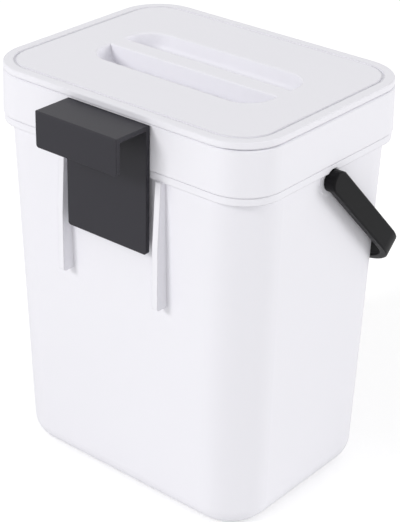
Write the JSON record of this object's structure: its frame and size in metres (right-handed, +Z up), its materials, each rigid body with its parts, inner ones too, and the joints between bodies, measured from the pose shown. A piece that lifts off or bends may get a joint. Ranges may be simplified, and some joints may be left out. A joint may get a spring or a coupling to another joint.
{
  "type": "compost caddy",
  "caption": "Tall tapered caddy with rounded corners, a bag ring, a flat lift-off lid with a sunken pinch grip, a swinging bail handle and a hook that hangs it on a cabinet door.",
  "frame": {"origin": "centre of the flat underside, on the surface the caddy stands on", "axes": "+Z up through the lid; the door hanger is on the -Y wall; X runs along the bail's pivots, and the bail rests on the +Y wall"},
  "size_m": [0.1944, 0.1732, 0.2385],
  "materials": {
    "white_plastic": "satin",
    "charcoal_plastic": "satin"
  },
  "bodies": {
    "pail": {"pail": "white_plastic"},
    "bag_ring": {"bag_ring": "white_plastic"},
    "lid": {"lid": "white_plastic"},
    "bail": {"bail": "charcoal_plastic"},
    "door_hanger": {"door_hanger": "charcoal_plastic"}
  },
  "joints": [
    {"name": "ring_lift", "type": "slide", "parent": "pail", "child": "bag_ring", "axis": [0, 0, 1], "range_m": [0, 0.045]},
    {"name": "lid_lift", "type": "slide", "parent": "bag_ring", "child": "lid", "axis": [0, 0, 1], "range_m": [0, 0.045]},
    {"name": "bail_swing", "type": "hinge", "parent": "pail", "child": "bail", "pos_m": [0, 0, 0.1996], "axis": [1, 0, 0], "range_deg": [0, 271.9]},
    {"name": "hanger_slide", "type": "slide", "parent": "pail", "child": "door_hanger", "axis": [0, 0, -1], "range_m": [0, 0.03]}
  ]
}
